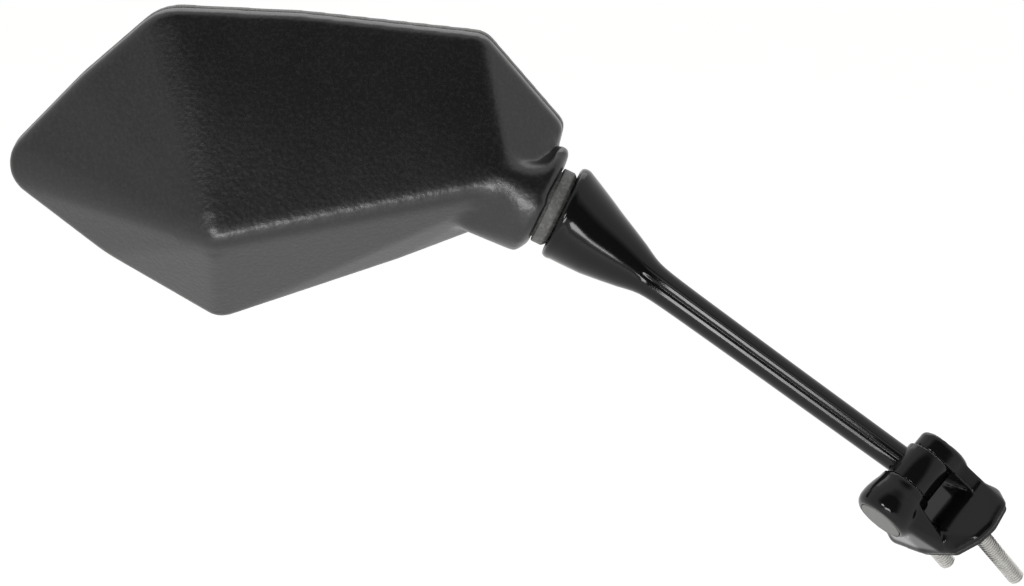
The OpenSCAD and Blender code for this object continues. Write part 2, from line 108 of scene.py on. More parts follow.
class Wire:
    """A number that runs through the nodes, with sums written as expressions."""

    def __init__(self, tree: "Tree", socket: bpy.types.NodeSocket | None) -> None:
        """Hold an output socket of a node tree."""
        self.tree = tree
        self.socket = socket

    def _math(self, kind: Sum, first: "Wire | float", second: "Wire | float") -> "Wire":
        """Add one Math node for two values."""
        return self.tree.node("ShaderNodeMath", {"operation": kind.value}, {0: first, 1: second})

    def __add__(self, other: "Wire | float") -> "Wire":
        """Sum of two values."""
        return self._math(Sum.PLUS, self, other)

    __radd__ = __add__

    def __sub__(self, other: "Wire | float") -> "Wire":
        """Difference of two values."""
        return self._math(Sum.MINUS, self, other)

    def __rsub__(self, other: float) -> "Wire":
        """Difference, with this value second."""
        return self._math(Sum.MINUS, other, self)

    def __mul__(self, other: "Wire | float") -> "Wire":
        """Product of two values."""
        return self._math(Sum.TIMES, self, other)

    __rmul__ = __mul__


class Tree:
    """The nodes of one material or of the world."""

    def __init__(self, nodes: bpy.types.NodeTree) -> None:
        """Empty a node tree and keep it."""
        self.nodes = nodes
        self.nodes.nodes.clear()

    def node(self, kind: str, settings: Mapping[str, object] | None = None,
             values: Mapping[int | str, object] | None = None, out: int | str = 0) -> Wire:
        """Add a node, set it up and link its inputs.

        Args:
            kind: Type of the node.
            settings: Properties that are set first. "stops" holds a ramp's positions and levels.
            values: Input name or number, with a value or a link.
            out: Output that is returned.

        Returns:
            The chosen output.
        """
        made = self.nodes.nodes.new(kind)
        for key, value in (settings or {}).items():
            if key == "stops":
                self._stops(made.color_ramp, value)
            else:
                setattr(made, key, value)
        for key, value in (values or {}).items():
            if isinstance(value, Wire):
                self.nodes.links.new(value.socket, made.inputs[key])
            else:
                made.inputs[key].default_value = value
        return Wire(self, made.outputs[out] if made.outputs else None)

    @staticmethod
    def _stops(ramp: bpy.types.ColorRamp, stops: Pairs) -> None:
        """Set a ramp's stops.

        Args:
            ramp: Colour ramp.
            stops: Position and grey level of each stop.
        """
        while len(ramp.elements) < len(stops):
            ramp.elements.new(1.0)
        for element, (place, level) in zip(ramp.elements, stops):
            element.position = place
            element.color = (level, level, level, 1.0)

    def noise(self, size_mm: float, detail: float = 3.0, shift: float = 0.0) -> Wire:
        """Smooth noise on the object's own coordinates.

        Args:
            size_mm: Size of the noise's spots.
            detail: Octaves.
            shift: Moves the pattern, so that two of a kind differ.

        Returns:
            Values round 0.5.
        """
        place = self.node("ShaderNodeTexCoord", out="Object")
        place = self.node("ShaderNodeMapping", {}, {"Vector": place, "Location": (shift, shift, shift)})
        values = {"Vector": place, "Scale": 1 / (size_mm * MM), "Detail": detail}
        return self.node("ShaderNodeTexNoise", {}, values)

    def grains(self, size_mm: float) -> Wire:
        """Distance from the middles of small cells, 0 in each middle."""
        values = {"Vector": self.node("ShaderNodeTexCoord", out="Object"), "Scale": 1 / (size_mm * MM)}
        return self.node("ShaderNodeTexVoronoi", {}, values, "Distance")

    def ramp(self, value: Wire, stops: Pairs) -> Wire:
        """Grey level by value, from stops of position and level."""
        return self.node("ShaderNodeValToRGB", {"stops": stops}, {0: value})

    def tint(self, share: Wire, first: "Wire | Colour", second: "Wire | Colour") -> Wire:
        """Mix two colours, with a share of the second."""
        return self.node("ShaderNodeMix", {"data_type": "RGBA"}, {0: share, 6: first, 7: second}, 2)

    def bump(self, height: Wire, depth_mm: float, strength: float, normal: Wire | None = None) -> Wire:
        """Turn a height into a normal.

        Args:
            height: Height from 0 to 1.
            depth_mm: Depth of the relief.
            strength: Strength of the node.
            normal: Bump under this one.

        Returns:
            The normal.
        """
        values = {"Height": height, "Distance": depth_mm * MM, "Strength": strength}
        if normal is not None:
            values["Normal"] = normal
        return self.node("ShaderNodeBump", {}, values)


def colour(level: float, warm: float = 0.0) -> Colour:
    """Linear grey, warmed by a share that is added to red and taken from blue."""
    return (level * (1 + warm), level * (1 + warm * 0.6), level * (1 - warm), 1.0)


# Finishes


@dataclass(frozen=True)
class Finish:
    """A finish, named after its slot in the record."""

    name: str

    def dress(self, tree: Tree) -> dict[str, object]:
        """Say what the surface shader's sockets get."""
        raise NotImplementedError

    def material(self) -> bpy.types.Material:
        """Make the material, once.

        Returns:
            The material.
        """
        title = self.name + "_finish"
        made = bpy.data.materials.get(title)
        if made is None:
            made = bpy.data.materials.new(title)
            made.use_nodes = True
            tree = Tree(made.node_tree)
            surface = tree.node("ShaderNodeBsdfPrincipled", {}, self.dress(tree))
            tree.node("ShaderNodeOutputMaterial", {}, {"Surface": surface})
        return made


@dataclass(frozen=True)
class MouldedPlastic(Finish):
    """Moulded plastic with a spark-eroded texture."""

    level: float = 0.03
    warm: float = 0.03
    grain_mm: float = 0.55
    depth_mm: float = 0.05
    pit_ratio: float = 1.6
    pit_shade_stops: Pairs = ((0.0, 0.0), (0.75, 1.0))
    speckle: float = 0.35
    speck_gain: float = 3.2
    speck_stops: Pairs = ((0.5, 0.0), (0.62, 1.0))
    cloud_mm: float = 28.0
    rough: float = 0.55
    grain_rough: float = 0.1
    cloud_rough: float = 0.06
    gloss: float = 0.5

    def dress(self, tree: Tree) -> dict[str, object]:
        """Fine grain in two sizes, slight clouding and a roughness that varies with both.

        Args:
            tree: Node tree of the material.

        Returns:
            Values of the surface shader's sockets.
        """
        fine = tree.noise(self.grain_mm, 4.0)
        pits = tree.ramp(tree.grains(self.grain_mm * self.pit_ratio), self.pit_shade_stops)
        cloud = tree.noise(self.cloud_mm, 2.0, 0.4)
        speck = tree.ramp(tree.noise(self.grain_mm, 2.0, 1.3), self.speck_stops)
        light = colour(self.level * 1.12, self.warm * 0.6)
        base = tree.tint(cloud, colour(self.level * 0.9, self.warm), light)
        base = tree.tint(speck * self.speckle, base, colour(self.level * self.speck_gain, self.warm))
        relief = tree.bump(pits, self.depth_mm, 0.5)
        return {
            "Base Color": base,
            "Roughness": self.rough + self.grain_rough * (fine - 0.5) + self.cloud_rough * (cloud - 0.5),
            "Specular IOR Level": self.gloss,
            "Normal": tree.bump(fine, self.depth_mm, 0.8, relief),
        }


@dataclass(frozen=True)
class GlossPaint(Finish):
    """Stoved gloss black over a casting."""

    level: float = 0.004
    dust_level: float = 0.026
    dust_mm: float = 0.35
    dust_share: float = 0.25
    dust_stops: Pairs = ((0.7, 0.0), (0.8, 1.0))
    dust_rough: float = 0.12
    rough: float = 0.11
    cloud_mm: float = 14.0
    cloud_rough: float = 0.08
    gloss: float = 0.25
    orange_peel_mm: float = 2.4
    peel_depth_mm: float = 0.0025

    def dress(self, tree: Tree) -> dict[str, object]:
        """Slow waviness, faint dust spots and a roughness that clouds a little.

        Args:
            tree: Node tree of the material.

        Returns:
            Values of the surface shader's sockets.
        """
        peel = tree.noise(self.orange_peel_mm, 2.0)
        cloud = tree.noise(self.cloud_mm, 3.0, 0.7)
        dust = tree.ramp(tree.noise(self.dust_mm, 1.0, 2.1), self.dust_stops)
        return {
            "Base Color": tree.tint(dust * self.dust_share, colour(self.level), colour(self.dust_level)),
            "Roughness": self.rough + self.cloud_rough * (cloud - 0.5) + self.dust_rough * dust,
            "Specular IOR Level": self.gloss,
            "Normal": tree.bump(peel, self.peel_depth_mm, 0.7),
        }


@dataclass(frozen=True)
class PlatedSteel(Finish):
    """Zinc-plated or blackened steel."""

    level: float = 0.55
    warm: float = 0.02
    metal: float = 1.0
    cloud_mm: float = 3.5
    cloud_rough: float = 0.15
    dull_mm: float = 1.4
    dull_share: float = 0.5
    dull_stops: Pairs = ((0.55, 0.0), (0.72, 1.0))
    dull_rough: float = 0.15
    rough: float = 0.34
    grain_mm: float = 0.3
    depth_mm: float = 0.012

    def dress(self, tree: Tree) -> dict[str, object]:
        """Cloudy plating with a fine grain and dull spots.

        Args:
            tree: Node tree of the material.

        Returns:
            Values of the surface shader's sockets.
        """
        cloud = tree.noise(self.cloud_mm, 4.0)
        fine = tree.noise(self.grain_mm, 3.0, 0.9)
        dull = tree.ramp(tree.noise(self.dull_mm, 3.0, 1.7), self.dull_stops)
        base = tree.tint(cloud, colour(self.level * 0.8, self.warm), colour(self.level * 1.15, self.warm))
        base = tree.tint(dull * self.dull_share, base, colour(self.level * 0.55, self.warm * 3))
        return {
            "Base Color": base,
            "Metallic": self.metal,
            "Roughness": self.rough + self.cloud_rough * (cloud - 0.5) + self.dull_rough * dull,
            "Normal": tree.bump(fine, self.depth_mm, 0.6),
        }


@dataclass(frozen=True)
class BlastedMetal(Finish):
    """Satin metal with a blasted grain."""

    level: float = 0.16
    metal: float = 0.35
    rough: float = 0.5
    cloud_mm: float = 4.0
    cloud_rough: float = 0.12
    grain_mm: float = 0.5
    depth_mm: float = 0.05
    # Share and ramp of the painted shade in the pits' middles.
    pit_shade_share: float = 0.35
    pit_shade_stops: Pairs = ((0.1, 1.0), (0.5, 0.0))

    def dress(self, tree: Tree) -> dict[str, object]:
        """Bead-blasted pits, with painted shade darkening their middles, and a clouded tone.

        Args:
            tree: Node tree of the material.

        Returns:
            Values of the surface shader's sockets.
        """
        pits = tree.grains(self.grain_mm)
        cloud = tree.noise(self.cloud_mm, 3.0)
        base = tree.tint(cloud, colour(self.level * 0.85, 0.02), colour(self.level * 1.15, 0.01))
        # Painted shade: the middles of the pits are darkened towards half the level.
        base = tree.tint(tree.ramp(pits, self.pit_shade_stops) * self.pit_shade_share, base, colour(self.level * 0.5))
        return {
            "Base Color": base,
            "Metallic": self.metal,
            "Roughness": self.rough + self.cloud_rough * (cloud - 0.5),
            "Normal": tree.bump(pits, self.depth_mm, 0.6),
        }


@dataclass(frozen=True)
class SoftPolymer(Finish):
    """Rubber, foam or bearing plastic."""

    level: float = 0.02
    warm: float = 0.0
    bloom_mm: float = 9.0
    rough: float = 0.75
    bloom_rough: float = 0.12
    grain_mm: float = 0.8
    depth_mm: float = 0.06

    def dress(self, tree: Tree) -> dict[str, object]:
        """Matt grain with slight blooming.

        Args:
            tree: Node tree of the material.

        Returns:
            Values of the surface shader's sockets.
        """
        grain = tree.noise(self.grain_mm, 4.0)
        bloom = tree.noise(self.bloom_mm, 3.0, 0.3)
        light = colour(self.level * 1.25, self.warm)
        return {
            "Base Color": tree.tint(bloom, colour(self.level * 0.8, self.warm), light),
            "Roughness": self.rough + self.bloom_rough * (bloom - 0.5),
            "Normal": tree.bump(grain, self.depth_mm, 0.6),
        }


@dataclass(frozen=True)
class SilveredGlass(Finish):
    """The mirror's glass, silvered behind."""

    silver: Colour = (0.78, 0.83, 0.86, 1.0)
    hazy_silver: Colour = (0.84, 0.88, 0.9, 1.0)
    haze_mm: float = 30.0
    rough: float = 0.015
    coat_rough: float = 0.01

    def dress(self, tree: Tree) -> dict[str, object]:
        """Bright silver with a faint blue tint and a very slight haze.

        Args:
            tree: Node tree of the material.

        Returns:
            Values of the surface shader's sockets.
        """
        haze = tree.noise(self.haze_mm, 3.0)
        return {
            "Base Color": tree.tint(haze, self.silver, self.hazy_silver),
            "Metallic": 1.0,
            "Roughness": self.rough + self.rough * haze,
            "Coat Weight": 1.0,
            "Coat Roughness": self.coat_rough,
        }


SHELL = MouldedPlastic("shell_plastic", level=0.0028, grain_mm=1.2, depth_mm=0.06, rough=0.31, gloss=0.62,
                       speckle=0.9)
BEZEL = MouldedPlastic("bezel_plastic", level=0.09, grain_mm=0.8, depth_mm=0.03, rough=0.45)
COLLAR = MouldedPlastic("collar_plastic", level=0.095, grain_mm=1.3, depth_mm=0.09, speckle=0.25)
CARRIER = MouldedPlastic("carrier_plastic", level=0.02, rough=0.45)
PAINT = GlossPaint("black_gloss")
ZINC = PlatedSteel("zinc_steel", level=0.6, rough=0.26)
DARK = PlatedSteel("dark_steel", level=0.12, rough=0.42)
CAP = BlastedMetal("cap_metal")
RUBBER = SoftPolymer("rubber")
ACETAL = SoftPolymer("white_acetal", level=0.7, warm=0.03, rough=0.4)
FOAM = SoftPolymer("foam", level=0.1, grain_mm=1.2, rough=0.85)
SILVER = SilveredGlass("mirror")


# Places


@dataclass(frozen=True)
class Places:
    """Frames of the foot, hinge, stem, flare mouth and neck, in millimetres."""

    foot_turn: Point = (3.0, -43.0, 36.5)
    stem_lean: float = 48.6
    stud_skew: float = 6.0
    stud_pitch: float = 36.0

    @staticmethod
    def _joint(name: str, key: str) -> Vector:
        """Read a point or an axis of a packed joint."""
        return Vector(next(joint[key] for joint in frame["joints"] if joint["name"] == name))

    @property
    def foot(self) -> Matrix:
        """Frame of the mounting face, +Z away from the fairing."""
        x, y, z = (radians(turn) for turn in self.foot_turn)
        return Matrix.Rotation(z, 4, "Z") @ Matrix.Rotation(y, 4, "Y") @ Matrix.Rotation(x, 4, "X")

    @property
    def hinge(self) -> Matrix:
        """Frame of the folding axis, from the middle of the stem's eye."""
        point = self._joint("fold", "pos_m") / MM
        return Matrix.Translation(point) @ self.foot @ Matrix.Rotation(pi / 2, 4, "Y")

    @property
    def stem(self) -> Matrix:
        """Frame of the shaft, +Z towards the head."""
        point = self._joint("fold", "pos_m") / MM
        return Matrix.Translation(point) @ self.foot @ Matrix.Rotation(radians(-self.stem_lean), 4, "X")

    @property
    def ball(self) -> Vector:
        """Middle of the ball."""
        return self._joint("head_aim", "pos_m") / MM

    @property
    def mouth(self) -> Matrix:
        """Frame of the flare's mouth, +Z towards the head, turned as little as possible from the shaft's.

        Returns:
            The frame.
        """
        turn = self.stem.to_3x3()
        way = turn.col[2].rotation_difference(-self._joint("head_aim", "axis")).to_matrix()
        return Matrix.Translation(self.ball) @ (way @ turn).to_4x4()

    @property
    def neck(self) -> Matrix:
        """Frame of the neck, +Z from the ball towards the shaft."""
        axis = self._joint("head_aim", "axis")
        return Matrix.Translation(self.ball) @ axis.to_track_quat("Z", "Y").to_matrix().to_4x4()

    def stud(self, side: int) -> Matrix:
        """Frame of a stud, +Z out of the mounting face, with side -1 in front and 1 behind."""
        return (self.foot @ Matrix.Rotation(radians(self.stud_skew), 4, "Z")
                @ Matrix.Translation((0, side * self.stud_pitch / 2, 0)) @ Matrix.Rotation(pi, 4, "X"))


def raised(place: Matrix, along: float) -> Matrix:
    """Frame moved along its own Z."""
    return place @ Matrix.Translation((0, 0, along))


def between(first: Matrix, last: Matrix, share: float) -> Matrix:
    """Frame part of the way from one frame to another.

    Args:
        first: Frame at share 0.
        last: Frame at share 1.
        share: Part of the way.

    Returns:
        The frame.
    """
    place = first.translation.lerp(last.translation, share)
    turn = first.to_quaternion().slerp(last.to_quaternion(), share)
    return Matrix.Translation(place) @ turn.to_matrix().to_4x4()


@dataclass(frozen=True)
class Ring:
    """One round section of a loft: its frame and radius, with what is added to the radius by angle."""

    place: Matrix
    radius: float
    shape: Callable[[float], float] | None = None


# Meshes


class Form:
    """A mesh in the making, in millimetres, that ends as one piece."""

    EVENING = 0.5
    PANEL_FACING = 0.93
    PANEL_DEPTH = 4.0
    THREAD_STEPS = 36
    THREAD_LEAD = 1.5
    THREAD_SPARE = 3
    TIP_INSET = 0.5
    TIP_SLOPE = 0.9

    def __init__(self, name: str) -> None:
        """Start an empty mesh for the piece of this name."""
        self.name = name
        self.bm = bmesh.new()

    @classmethod
    def copy_of(cls, name: str, node: str) -> "Form":
        """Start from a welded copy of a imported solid.

        Args:
            name: Name of the piece.
            node: Solid that is copied.

        Returns:
            The form.
        """
        form = cls(name)
        form.bm.from_mesh(frame["nodes"][node].data)
        form.scale(1 / MM)
        bmesh.ops.remove_doubles(form.bm, verts=form.bm.verts, dist=WELD_MM)
        return form

    def scale(self, by: float) -> None:
        """Scale the whole mesh about the origin."""
        bmesh.ops.scale(self.bm, vec=(by, by, by), verts=self.bm.verts)

    def face_out(self) -> None:
        """Turn all faces outwards."""
        bmesh.ops.recalc_face_normals(self.bm, faces=self.bm.faces)

    def loft(self, rings: Sequence[Ring], segments: int) -> None:
        """Bridge round sections into a closed skin.

        Args:
            rings: Sections in order, the first and the last of which are closed.
            segments: Points round each section.
        """
        loops = []
        ends = (0, len(rings) - 1)
        for index, ring in enumerate(rings):
            verts = bmesh.ops.create_circle(self.bm, cap_ends=index in ends, radius=ring.radius,
                                            segments=segments)["verts"]
            if ring.shape:
                for vert in verts:
                    angle = Vector((vert.co.x, vert.co.y)).angle_signed(Vector((0, -1)), 0.0)
                    vert.co *= 1 + ring.shape(angle) / ring.radius
            bmesh.ops.transform(self.bm, matrix=ring.place, verts=verts)
            loops.append(list({edge for vert in verts for edge in vert.link_edges}))
        for low, high in zip(loops, loops[1:]):
            bmesh.ops.bridge_loops(self.bm, edges=low + high)
        self.face_out()

    def turned(self, profile: Pairs, place: Matrix, steps: int = 96) -> None:
        """Spin a closed profile about a frame's Z.

        Args:
            profile: Radius and height of each corner, in order.
            place: Frame that the solid stands in.
            steps: Faces round the axis.
        """
        verts = [self.bm.verts.new((radius, 0, height)) for radius, height in profile]
        edges = [self.bm.edges.new((verts[i - 1], verts[i])) for i in range(len(verts))]
        bmesh.ops.spin(self.bm, geom=verts + edges, axis=(0, 0, 1), cent=(0, 0, 0), angle=tau,
                       steps=steps, use_merge=True)
        bmesh.ops.transform(self.bm, matrix=place, verts=self.bm.verts)
        self.face_out()

    def join(self, other: "Form") -> None:
        """Join another closed mesh to this one.

        Args:
            other: The other mesh, used up by this.
        """
        mesh = bpy.data.meshes.new(other.name)
        other.bm.to_mesh(mesh)
        other.bm.free()
        item = bpy.data.objects.new(other.name, mesh)
        bpy.context.scene.collection.objects.link(item)
        self._through(Step.BOOLEAN, {"operation": "UNION", "solver": "EXACT", "object": item})
        bpy.data.objects.remove(item)
        bpy.data.meshes.remove(mesh)

    def remesh(self, voxel_mm: float) -> None:
        """Turn the mesh into even quads of the given size."""
        self._through(Step.REMESH, {"mode": "VOXEL", "voxel_size": voxel_mm})

    def _through(self, kind: Step, settings: Mapping[str, object]) -> None:
        """Run the mesh through one modifier.

        Args:
            kind: Type of the modifier.
            settings: Its settings.
        """
        mesh = bpy.data.meshes.new(self.name + "_work")
        self.bm.to_mesh(mesh)
        item = bpy.data.objects.new(self.name + "_work", mesh)
        bpy.context.scene.collection.objects.link(item)
        modifier = item.modifiers.new(kind.value.lower(), kind.value)
        for key, value in settings.items():
            setattr(modifier, key, value)
        graph = bpy.context.evaluated_depsgraph_get()
        result = bpy.data.meshes.new_from_object(item.evaluated_get(graph))
        self.bm.clear()
        self.bm.from_mesh(result)
        bpy.data.objects.remove(item)
        bpy.data.meshes.remove(mesh)
        bpy.data.meshes.remove(result)

    def soften(self, rounds: int, chosen: Callable[[Vector], bool] = lambda co: True) -> None:
        """Round the creases of the chosen part.

        Args:
            rounds: How many times the points are evened out.
            chosen: Says whether a point takes part. All points do by default.
        """
        verts = [vert for vert in self.bm.verts if chosen(vert.co)]
        for _ in range(rounds):
            bmesh.ops.smooth_vert(self.bm, verts=verts, factor=self.EVENING, use_axis_x=True,
                                  use_axis_y=True, use_axis_z=True)

    def crown(self, corners: Sequence[Vector], rise: float) -> None:
        """Swell a flat four-cornered panel a little.

        Args:
            corners: Corners of the panel, in order round it.
            rise: Height of the swelling in the middle.
        """
        out = (corners[1] - corners[0]).cross(corners[3] - corners[0]).normalized()
        self.bm.normal_update()
        for vert in self.bm.verts:
            depth = abs((vert.co - corners[0]).dot(out))
            if vert.normal.dot(out) < self.PANEL_FACING or depth > self.PANEL_DEPTH:
                continue
            spans = [self._inside(vert.co, corners[i], corners[(i + 1) % 4], out) for i in range(4)]
            if min(spans) <= 0:
                continue
            up = spans[0] / (spans[0] + spans[2])
            along = spans[3] / (spans[3] + spans[1])
            vert.co += out * rise * 4 * up * (1 - up) * (1 - (2 * along - 1) ** 4)

    @staticmethod
    def _inside(point: Vector, start: Vector, end: Vector, out: Vector) -> float:
        """Distance of a point inside one edge of a panel with this normal, below 0 outside."""
        return (point - start).dot(out.cross(end - start).normalized())

    def thread(self, low: float, high: float, major: float, minor: float, pitch: float,
               place: Matrix) -> None:
        """Wind a screw thread, closed at both ends, with a chamfered tip.

        Args:
            low: Height of its start.
            high: Height of its tip.
            major: Radius of the crests.
            minor: Radius of the roots.
            pitch: Height of one turn.
            place: Frame that it stands in.
        """
        turns = int((high - low) / pitch) + self.THREAD_SPARE
        start = low - self.THREAD_LEAD * pitch
        profile = ((minor, 0), (minor, 0.12), (major, 0.44), (major, 0.56), (minor, 0.88), (minor, 1.0))
        verts = [self.bm.verts.new((radius, 0, start + share * pitch)) for radius, share in profile]
        edges = [self.bm.edges.new(pair) for pair in zip(verts, verts[1:])]
        bmesh.ops.spin(self.bm, geom=verts + edges, axis=(0, 0, 1), cent=(0, 0, 0), angle=tau * turns,
                       dvec=(0, 0, pitch / self.THREAD_STEPS), steps=self.THREAD_STEPS * turns)
        bmesh.ops.remove_doubles(self.bm, verts=self.bm.verts, dist=WELD_MM)
        for height, way in ((low, -1), (high, 1)):
            cut = bmesh.ops.bisect_plane(self.bm, geom=[*self.bm.verts, *self.bm.edges, *self.bm.faces],
                                         plane_co=(0, 0, height), plane_no=(0, 0, way), clear_outer=True)
            rim = [item for item in cut["geom_cut"] if isinstance(item, bmesh.types.BMEdge)]
            bmesh.ops.edgeloop_fill(self.bm, edges=rim)
        for vert in self.bm.verts:
            limit = minor - self.TIP_INSET + (high - vert.co.z) * self.TIP_SLOPE
            radius = vert.co.xy.length
            if radius > limit:
                vert.co.xy *= limit / radius
        bmesh.ops.transform(self.bm, matrix=place, verts=self.bm.verts)
        self.face_out()

    def piece(self, finish: Finish, body: Body, stands_for: str, sharp_deg: float) -> None:
        """Make the piece, dress it and put it on its body.

        Args:
            finish: Finish of the piece, which also names its slot.
            body: Body that it rides on.
            stands_for: Solid that it replaces.
            sharp_deg: Edges sharper than this stay sharp.
        """
        self.face_out()
        self.scale(MM)
        for face in self.bm.faces:
            face.smooth = True
        for edge in self.bm.edges:
            if len(edge.link_faces) == 2 and edge.calc_face_angle(0) > radians(sharp_deg):
                edge.smooth = False
        mesh = bpy.data.meshes.new(self.name)
        self.bm.to_mesh(mesh)
        self.bm.free()
        item = bpy.data.objects.new(self.name, mesh)
        bpy.context.scene.collection.objects.link(item)
        mesh.materials.append(finish.material())
        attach(item, body.value)
        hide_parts(stands_for)
        LOG.info("%s: %d faces on %s", item.name, len(mesh.polygons), body.value)


def dress_nodes(finishes: Mapping[str, Finish]) -> None:
    """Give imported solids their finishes.

    Args:
        finishes: Name of each solid, with the finish that it gets.
    """
    for node, finish in finishes.items():
        materials = frame["nodes"][node].data.materials
        materials.clear()
        materials.append(finish.material())
        LOG.info("%s: packed solid in %s", node, finish.name)


# Sub-assemblies


@dataclass
class Head:
    """Faceted shell with its boss, bezel, carrier and glass.

    The corners of the main panel, on the crest and on the rim, are measured from the ball.
    """

    places: Places
    voxel: float = 0.9
    skin_rounds: int = 9
    crease_rounds: int = 5
    ridge_rounds: int = 30
    ridge_reach: float = 9.0
    last_rounds: int = 2
    band_front: float = 7.7
    outer_crest: Point = (-122.8, -25.3, -4.8)
    inner_crest: Point = (-23.3, -13.1, 13.6)
    brow: Point = (-33.0, 7.7, 60.5)
    crown: Point = (-143.0, 7.7, 68.5)
    rise: float = 1.5
    bezel_voxel: float = 0.7
    bezel_rounds: int = 3
    sharp_deg: float = 60.0

    def _shell(self) -> None:
        """Soften the shell's creases, most of all its ridge, and swell the main panel."""
        ball = self.places.ball
        corners = (self.outer_crest, self.inner_crest, self.brow, self.crown)
        main = [ball + Vector(corner) for corner in corners]
        ridge = (main[1] - main[0]).normalized()
        shell = Form.copy_of("head_shell", "housing")
        shell.remesh(self.voxel)
        shell.soften(self.skin_rounds)
        shell.soften(self.crease_rounds, lambda co: co.y < ball.y + self.band_front)
        shell.soften(self.ridge_rounds, lambda co: ridge.cross(co - main[0]).length < self.ridge_reach)
        shell.crown(main, self.rise)
        shell.soften(self.last_rounds, lambda co: co.y < ball.y + self.band_front)
        shell.piece(SHELL, Body.HEAD, "housing", self.sharp_deg)

    def build(self) -> None:
        """Make the shell and the bezel and dress the rest."""
        self._shell()
        bezel = Form.copy_of("bezel_frame", "bezel")
        bezel.remesh(self.bezel_voxel)
        bezel.soften(self.bezel_rounds)
        bezel.piece(BEZEL, Body.HEAD, "bezel", self.sharp_deg)
        dress_nodes({"glass_carrier": CARRIER, "glass_pad": FOAM, "mirror_glass": SILVER,
                     "carrier_screws": ZINC})


@dataclass
class Neck:
    """Collar, ball stud and the ball seat."""

    places: Places
    collar_profile: Pairs = (
        (4.05, -13.35), (12.3, -13.35), (12.3, -10.2), (13.3, -10.2), (13.65, -10.05), (13.8, -9.7),
        (13.8, -6.5), (13.7, -6.15), (13.5, -5.85), (12.85, -5.2), (12.6, -5.0), (12.3, -4.9),
        (8.55, -4.9), (8.55, -8.1), (4.05, -8.1),
    )
    sharp_deg: float = 50.0

    def build(self) -> None:
        """Turn the collar and dress the rest."""
        collar = Form("collar_ring")
        collar.turned(self.collar_profile, self.places.neck)
        collar.piece(COLLAR, Body.HEAD, "collar", self.sharp_deg)
        dress_nodes({"ball_stud": ZINC, "stud_washer": ZINC, "stud_nut": ZINC, "disc_springs": ZINC,
                     "ball_liner": ACETAL, "friction_cup": DARK, "retaining_ring": DARK})


@dataclass
class Stem:
    """The gloss-black casting: eye, shaft with its flat front band, flare and ball seat.

    The shaft's points are heights over the hinge with radii, and the lip's are heights over the ball.
    """

    places: Places
    shaft: Pairs = (
        (6.0, 5.1), (9.0, 5.12), (20.0, 5.17), (40.0, 5.28), (60.0, 5.39), (80.0, 5.55), (100.0, 5.75),
        (107.0, 5.88), (111.0, 6.02), (114.0, 6.2), (116.5, 6.5), (119.0, 7.05), (121.5, 7.85),
        (124.5, 8.9), (130.0, 10.55), (137.9, 12.78),
    )
    flare_shares: tuple[float, ...] = (0.2, 0.4, 0.6, 0.8)
    lip: Pairs = (
        (1.4, 16.75), (2.4, 16.93), (3.1, 16.9), (3.7, 16.75), (4.2, 16.5), (4.55, 16.15), (4.7, 15.85),
        (4.62, 15.6), (4.3, 15.5), (1.9, 15.5), (1.72, 15.5), (1.7, 14.2), (0.8, 14.2), (0.78, 9.95),
        (0.0, 9.95),
    )
    segments: int = 256
    seat_r: float = 9.95
    seat_sweep: float = 58.5045
    seat_steps: int = 8
    pocket_r: float = 5.2
    pocket_depth: float = 13.7
    band_start: float = 6.0
    band_rise: float = 4.0
    band_fall: float = 5.0
    band_end: float = 119.0
    band_turn: float = -17.0
    band_tilt: float = -19.0
    band_half: float = 19.5
    band_slope: float = 5.0
    band_sink: float = 0.03
    groove_half: float = 8.0
    groove_depth: float = 0.35
    eye_profile: Pairs = (
        (4.5, -5.5), (8.25, -5.5), (8.25, -6.3), (8.4, -6.4), (8.6, -6.3), (8.7, -6.05), (8.7, 6.05),
        (8.6, 6.3), (8.4, 6.4), (8.25, 6.3), (8.25, 5.5), (4.5, 5.5),
    )
    sharp_deg: float = 50.0

    def _band(self, radius: float, share: float) -> Callable[[float], float]:
        """Extra radius by angle for the front band: a flat with a groove along its middle.

        Args:
            radius: Radius of the shaft here.
            share: Share of the full height.

        Returns:
            Function of the angle from the front.
        """
        middle, tilt, half, slope, groove = (radians(deg) for deg in (
            self.band_turn, self.band_tilt, self.band_half, self.band_slope, self.groove_half))

        def height(angle: float) -> float:
            """Height over the round shaft.

            Args:
                angle: Angle from the front.

            Returns:
                The height, below 0 in the groove.
            """
            off = abs(angle - middle)
            near = middle + max(min(angle - middle, half), -half)
            rise = (radius - self.band_sink) / cos(near - tilt) - radius
            if off > half:
                rise *= max(half + slope - off, 0.0) / slope
            if off < groove:
                rise -= self.groove_depth * cos(off / groove * pi / 2)
            return rise * share

        return height

    def _rings(self) -> list[Ring]:
        """Sections from the eye to the mouth and back into the ball seat.

        Returns:
            The sections, in order.
        """
        stem, mouth = self.places.stem, self.places.mouth
        rings = []
        for along, radius in self.shaft:
            grown = (along - self.band_start) / self.band_rise
            left = (self.band_end - along) / self.band_fall
            band = self._band(radius, max(min(grown, left, 1.0), 0.0))
            rings.append(Ring(raised(stem, along), radius, band))
        waist, low_r = self.shaft[-1]
        rim, high_r = self.lip[0]
        first, last = raised(stem, waist), raised(mouth, rim)
        for share in self.flare_shares:
            rings.append(Ring(between(first, last, share), low_r + (high_r - low_r) * share))
        rings += [Ring(raised(mouth, along), radius) for along, radius in self.lip]
        pocket = Matrix.Translation(self.places.ball) @ stem.to_3x3().to_4x4()
        for step in range(1, self.seat_steps + 1):
            share = step / self.seat_steps
            polar = pi / 2 + radians(self.seat_sweep) * share
            place = raised(between(mouth, pocket, share), self.seat_r * cos(polar))
            rings.append(Ring(place, self.seat_r * sin(polar)))
        rings.append(Ring(raised(pocket, -self.pocket_depth), self.pocket_r))
        return rings

    def build(self) -> None:
        """Loft the casting and join the eye."""
        casting = Form("stem_casting")
        casting.loft(self._rings(), self.segments)
        eye = Form("stem_eye")
        eye.turned(self.eye_profile, self.places.hinge)
        casting.join(eye)
        casting.piece(PAINT, Body.STEM, "stem", self.sharp_deg)


